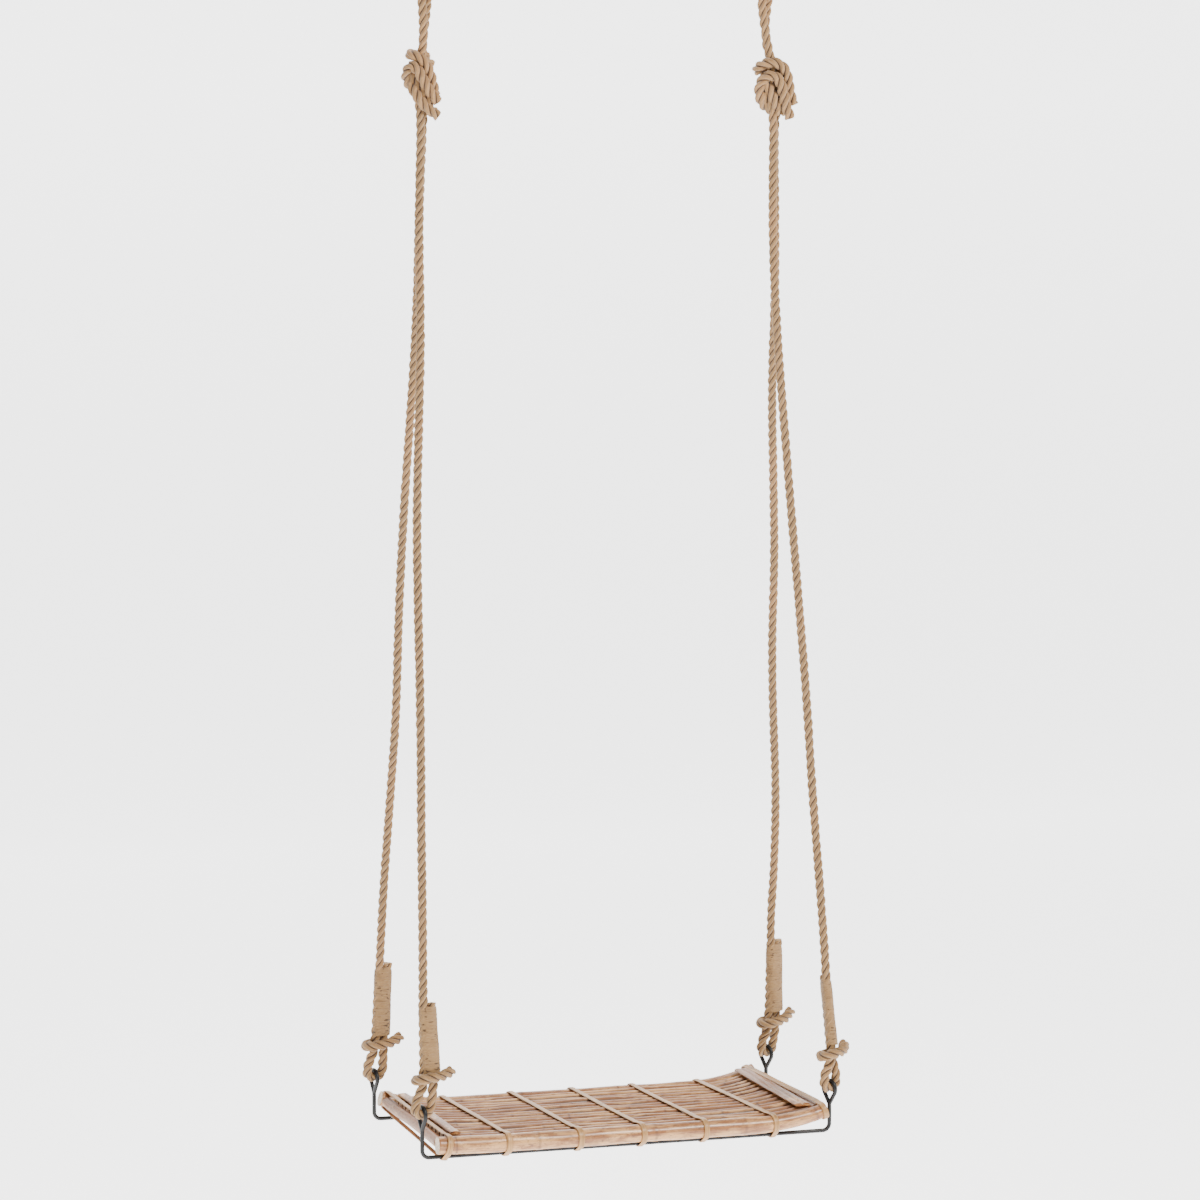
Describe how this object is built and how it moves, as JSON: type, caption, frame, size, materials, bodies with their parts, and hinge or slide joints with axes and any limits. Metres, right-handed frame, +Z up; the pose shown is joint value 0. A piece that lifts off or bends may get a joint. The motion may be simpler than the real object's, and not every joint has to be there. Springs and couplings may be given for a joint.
{
  "type": "rope swing",
  "caption": "Wide swing with a slatted cane seat on two iron hangers, hung from the ceiling by two knotted, twine-whipped ropes.",
  "frame": {"origin": "centre of the four ceiling screw holes, on the ceiling plane", "axes": "+Z up, out of the plates into the ceiling; +X to the seat's right end, seen from the front; +Y to the seat's back"},
  "size_m": [0.7906, 0.3682, 2.057],
  "materials": {
    "rope": "matte three-strand jute rope",
    "twine": "matte jute twine whipping",
    "iron_plate": "satin black",
    "iron_rod": "satin black",
    "iron_hanger": "satin black, forged",
    "rail_cane": "satin, mottled cane",
    "slat_cane": "satin, pale cane",
    "split_cane": "satin, split cane",
    "tie_cane": "satin, peeled cane strip"
  },
  "bodies": {
    "ceiling_fixings": {"left_ceiling_plate": "iron_plate", "left_staple": "iron_rod", "right_ceiling_plate": "iron_plate", "right_staple": "iron_rod"},
    "rings": {"left_ring": "iron_rod", "right_ring": "iron_rod"},
    "left_rope": {"left_bight": "rope", "left_top_knot": "rope", "left_front_leg": "rope", "left_front_whipping": "twine", "left_front_collar": "rope", "left_front_eye_loop": "rope", "left_back_leg": "rope", "left_back_whipping": "twine", "left_back_collar": "rope", "left_back_eye_loop": "rope"},
    "right_rope": {"right_bight": "rope", "right_top_knot": "rope", "right_front_leg": "rope", "right_front_whipping": "twine", "right_front_collar": "rope", "right_front_eye_loop": "rope", "right_back_leg": "rope", "right_back_whipping": "twine", "right_back_collar": "rope", "right_back_eye_loop": "rope"},
    "seat": {"front_hanger": "iron_hanger", "back_hanger": "iron_hanger", "front_rail": "rail_cane", "back_rail": "rail_cane", "slat_01": "slat_cane", "slat_02": "slat_cane", "slat_03": "slat_cane", "slat_04": "slat_cane", "slat_05": "slat_cane", "slat_06": "slat_cane", "slat_07": "slat_cane", "slat_08": "slat_cane", "slat_09": "slat_cane", "slat_10": "slat_cane", "slat_11": "slat_cane", "slat_12": "slat_cane", "slat_13": "slat_cane", "slat_14": "slat_cane", "left_end_cane": "rail_cane", "right_end_cane": "rail_cane", "left_batten": "split_cane", "right_batten": "split_cane", "bearer_1": "slat_cane", "bearer_2": "slat_cane", "bearer_3": "slat_cane", "bearer_4": "slat_cane", "bearer_5": "slat_cane", "tie_1": "tie_cane", "tie_2": "tie_cane", "tie_3": "tie_cane", "tie_4": "tie_cane", "tie_5": "tie_cane", "tie_6": "tie_cane", "tie_7": "tie_cane"}
  },
  "joints": [
    {"name": "swing", "type": "hinge", "parent": "ceiling_fixings", "child": "rings", "pos_m": [0, 0, -0.029], "axis": [1, 0, 0], "range_deg": [-45, 45]},
    {"name": "sway", "type": "hinge", "parent": "rings", "child": "left_rope", "pos_m": [-0.302, 0, -0.0647], "axis": [0, 1, 0], "range_deg": [-8, 8]},
    {"name": "right_sway", "type": "hinge", "parent": "rings", "child": "right_rope", "pos_m": [0.302, 0, -0.0647], "axis": [0, 1, 0], "range_deg": [-8.2, 8.2]},
    {"name": "seat_level", "type": "hinge", "parent": "left_rope", "child": "seat", "pos_m": [-0.36, 0, -1.964], "axis": [0, 1, 0], "range_deg": [-8, 8]}
  ],
  "couplings": [
    {"joint": "right_sway", "follows": "sway", "ratio": 1},
    {"joint": "seat_level", "follows": "sway", "ratio": -0.8389}
  ]
}
